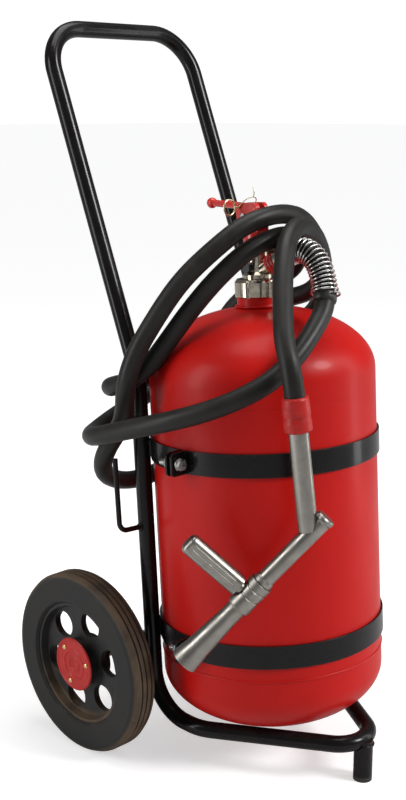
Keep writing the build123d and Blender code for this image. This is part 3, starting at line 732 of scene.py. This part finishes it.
# %% Rubber and plastic
finish("pad_rubber", (0.018, 0.018, 0.018), (0.035, 0.033, 0.030), 0.6, 0.85,
       grain_scale=1200, grain_depth=0.00006, dusty=0.4, patch_scale=80)
finish("black_plastic", (0.012, 0.012, 0.012), (0.02, 0.02, 0.02), 0.35, 0.5,
       grain_scale=1600, patch_scale=90)
finish("bush_plastic", (0.62, 0.61, 0.57), (0.5, 0.48, 0.44), 0.35, 0.5,
       grain_scale=1300, patch_scale=90, dusty=0.3)
finish("cap_red", (0.46, 0.016, 0.012), (0.36, 0.012, 0.010), 0.30, 0.46,
       grain_scale=900, grain_depth=0.00004, patch_scale=70, edge=0.0006, dusty=0.08,
       specular=0.3)
finish("hose_rubber", (0.013, 0.012, 0.011), (0.019, 0.018, 0.017), 0.36, 0.48,
       grain_scale=1100, grain_depth=0.00008, pits=0.5, patch_scale=18, edge=0.0001,
       dusty=0.03, scratches=0.10, specular=0.22)
print(len(finishes), "finishes so far")

# %% [markdown]
# Road dirt gathers in two places on a wheel: on the tread, and along the low
# inside edge of the disc, where it can't fall out. Both are found by how far a
# point is from the axle, and both are broken up by the patches of the finish.

# %% Wheels with road dirt
RIM_INNER, RIM_OUTER = 0.068, 0.078
RIM_LEVEL, RIM_LOW = -0.02, -0.06
TREAD_INNER, TREAD_OUTER = 0.1175, 0.1225
LEAST_DIRT = 0.25

tree, shader, colour, drift = finish(
    "wheel_plastic", (0.014, 0.014, 0.015), (0.028, 0.026, 0.025), 0.36, 0.55,
    grain_scale=1000, grain_depth=0.00005, patch_scale=30, edge=0.0014, wear=0.12,
    bare=(0.06, 0.05, 0.045), dusty=0.20, specular=0.25)
axle = use_effect(tree, "AxleDistance")
near_rim = spread(tree, axle.outputs["Distance"], RIM_INNER, RIM_OUTER)
low_down = spread(tree, axle.outputs["Height"], RIM_LEVEL, RIM_LOW)
low_rim = calc(tree, "MULTIPLY", near_rim, low_down)
rim_dust = calc(tree, "MULTIPLY", low_rim, calc(tree, "MULTIPLY_ADD", drift, 0.6, LEAST_DIRT))
tree.links.new(colour_between(tree, rim_dust, colour, ROAD_DIRT), shader.inputs["Base Color"])

tree, shader, colour, drift = finish(
    "tyre_rubber", (0.020, 0.020, 0.020), (0.033, 0.031, 0.029), 0.60, 0.78,
    grain_scale=700, grain_depth=0.00012, pits=0.5, patch_scale=26, edge=0.0012,
    dusty=0.16, scratches=0.25, specular=0.2)
ring = use_effect(tree, "AxleDistance").outputs["Distance"]
on_tread = spread(tree, ring, TREAD_INNER, TREAD_OUTER)
tread_dirt = calc(tree, "MULTIPLY", on_tread, calc(tree, "MULTIPLY_ADD", drift, 0.5, LEAST_DIRT))
tree.links.new(colour_between(tree, tread_dirt, colour, ROAD_DIRT), shader.inputs["Base Color"])
print("dirt on tread and rim")

# %% [markdown]
# The gauge's white dial has a ring of black ticks. Inside it runs an arc that is
# green in the middle, where the pressure is right, and red at both ends. It is
# drawn by how far a point is from the dial's middle and in which direction.

# %% Printed dial
ARC_INNER, ARC_OUTER, ARC_HALF, GREEN_HALF = 0.0095, 0.0125, 2.1, 0.6
TICK_INNER, TICK_OUTER, TICKS, TICK_EDGE = 0.0128, 0.0155, 15.0, 0.93
PRINT_RED, PRINT_GREEN, PRINT_BLACK = (0.62, 0.03, 0.02), (0.02, 0.30, 0.06), (0.02, 0.02, 0.02)

tree, shader, colour, drift = finish("dial_print", (0.85, 0.85, 0.82), (0.78, 0.77, 0.72), 0.4, 0.5,
                                     grain_scale=1600, patch_scale=150)
dial_low, dial_high = (Vector(corner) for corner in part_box("gauge_dial"))
dial_middle = (dial_low + dial_high) / 2
spot = put(tree, "SeparateXYZ", {0: put(tree, "TexCoord").outputs["Object"]})
across = calc(tree, "SUBTRACT", spot.outputs["Y"], dial_middle.y)
rise = calc(tree, "SUBTRACT", spot.outputs["Z"], dial_middle.z)
reach = distance_between(tree, across, rise)
heading = calc(tree, "ARCTAN2", across, rise)
tilt = calc(tree, "ABSOLUTE", heading)


def between(value, low, high):
    """One where a value lies between two others, and nought elsewhere."""
    above = calc(tree, "GREATER_THAN", value, low)
    return calc(tree, "MULTIPLY", above, calc(tree, "LESS_THAN", value, high))


arc_place = calc(tree, "MULTIPLY", between(reach, ARC_INNER, ARC_OUTER),
                 calc(tree, "LESS_THAN", tilt, ARC_HALF))
working = calc(tree, "LESS_THAN", tilt, GREEN_HALF)
arc = colour_between(tree, working, PRINT_RED, PRINT_GREEN)
printed = colour_between(tree, arc_place, colour, arc)
wave = calc(tree, "COSINE", calc(tree, "MULTIPLY", heading, TICKS))
ticks = calc(tree, "GREATER_THAN", wave, TICK_EDGE)
marks = calc(tree, "MULTIPLY", ticks, between(reach, TICK_INNER, TICK_OUTER))
tree.links.new(colour_between(tree, marks, printed, PRINT_BLACK), shader.inputs["Base Color"])

# %% Clear window
tree, shader = finish("gauge_clear", (0.95, 0.96, 0.96), (0.88, 0.90, 0.90), 0.02, 0.10,
                      grain_scale=400, grain_depth=0.00001, patch_scale=120)[:2]
shader.inputs["Transmission Weight"].default_value = 1.0
print(len(finishes), "finishes so far")

# %% [markdown]
# The paper is lit from below on a real set, so that it turns pure white to the
# lens and still takes a soft shadow. Here it glows a little to the lens only,
# and throws no light of its own onto the metal.

# %% Studio paper
PAPER_GLOW = 0.54
tree, shader = finish("studio_paper", (0.70, 0.70, 0.70), (0.69, 0.69, 0.69), 0.75, 0.85,
                      grain_scale=500, grain_depth=0.00005, patch_scale=2, specular=0.15,
                      edge=0.0001)[:2]
toward_lens = put(tree, "LightPath").outputs["Is Camera Ray"]
tree.links.new(colour_between(tree, toward_lens, (0, 0, 0), (1, 1, 1)), shader.inputs["Emission Color"])
shader.inputs["Emission Strength"].default_value = PAPER_GLOW
floor.data.materials.append(finishes["studio_paper"])

# %% Every piece of metalwork takes its finish
for part in frame["record"]["subparts"]:
    node = frame["nodes"][part["node"]]
    for place in range(max(1, len(node.data.materials))):
        if place < len(node.data.materials):
            node.data.materials[place] = finishes[part["material_slot"]]
        else:
            node.data.materials.append(finishes[part["material_slot"]])
for pieces, slot in (([hose], "hose_rubber"), ([spring], "spring_zinc"), ([collar], "black_plastic"),
                     (red_welds, "bottle_red"), (black_welds, "frame_black"), (seal_wires, "pin_wire"),
                     ([inlet_lip], "gun_nickel"), ([skirt], "cap_red")):
    for piece in pieces:
        piece.data.materials.append(finishes[slot])
print(len(finishes), "finishes on", len(frame["nodes"]), "pieces of metalwork")
